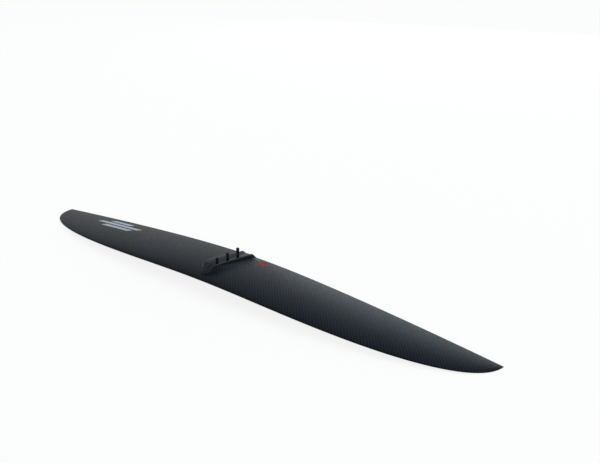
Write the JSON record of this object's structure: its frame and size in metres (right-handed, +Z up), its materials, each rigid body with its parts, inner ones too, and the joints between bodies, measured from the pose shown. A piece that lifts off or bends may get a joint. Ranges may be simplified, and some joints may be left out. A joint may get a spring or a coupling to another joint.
{
  "type": "hydrofoil front wing",
  "caption": "High-aspect carbon hydrofoil front wing with drooped, raked tips and a pointed open cradle on top that takes a fuselage bar, held by countersunk screws from below.",
  "frame": {"origin": "on the cradle's flat seat, on the centre line, midway between the front and middle screws", "axes": "+X along the span to port, +Y aft along the chord, +Z up out of the seat towards the fuselage and the board"},
  "size_m": [1.04, 0.1337, 0.0557],
  "materials": {
    "twill_carbon": "satin clear-coated twill carbon",
    "straight_carbon": "unidirectional carbon",
    "laminate": "glass and carbon laminate",
    "foam": "closed-cell structural foam",
    "black_steel": "black coated stainless steel",
    "stainless": "stainless steel"
  },
  "bodies": {
    "wing": {"upper_skin": "twill_carbon", "lower_skin": "twill_carbon", "upper_spar_cap": "straight_carbon", "lower_spar_cap": "straight_carbon", "spar_web": "laminate", "port_nose_core": "foam", "starboard_nose_core": "foam", "port_core": "foam", "starboard_core": "foam", "root_block": "laminate", "fuselage_cradle": "twill_carbon", "sleeve_front": "stainless", "sleeve_middle": "stainless", "sleeve_rear": "stainless"},
    "washer_front": {"washer_front": "stainless"},
    "screw_front": {"screw_front": "black_steel"},
    "washer_middle": {"washer_middle": "stainless"},
    "screw_middle": {"screw_middle": "black_steel"},
    "washer_rear": {"washer_rear": "stainless"},
    "screw_rear": {"screw_rear": "black_steel"}
  },
  "joints": [
    {"name": "washer_front_slide", "type": "slide", "parent": "wing", "child": "washer_front", "axis": [0, 0, -1], "range_m": [0, 0.036]},
    {"name": "screw_front_turn", "type": "hinge", "parent": "washer_front", "child": "screw_front", "pos_m": [0, -0.0125, 0], "axis": [0, 0, 1], "continuous": true},
    {"name": "washer_middle_slide", "type": "slide", "parent": "wing", "child": "washer_middle", "axis": [0, 0, -1], "range_m": [0, 0.036]},
    {"name": "screw_middle_turn", "type": "hinge", "parent": "washer_middle", "child": "screw_middle", "pos_m": [0, 0.0125, 0], "axis": [0, 0, 1], "continuous": true},
    {"name": "washer_rear_slide", "type": "slide", "parent": "wing", "child": "washer_rear", "axis": [0, 0, -1], "range_m": [0, 0.036]},
    {"name": "screw_rear_turn", "type": "hinge", "parent": "washer_rear", "child": "screw_rear", "pos_m": [0, 0.0375, 0], "axis": [0, 0, 1], "continuous": true}
  ]
}
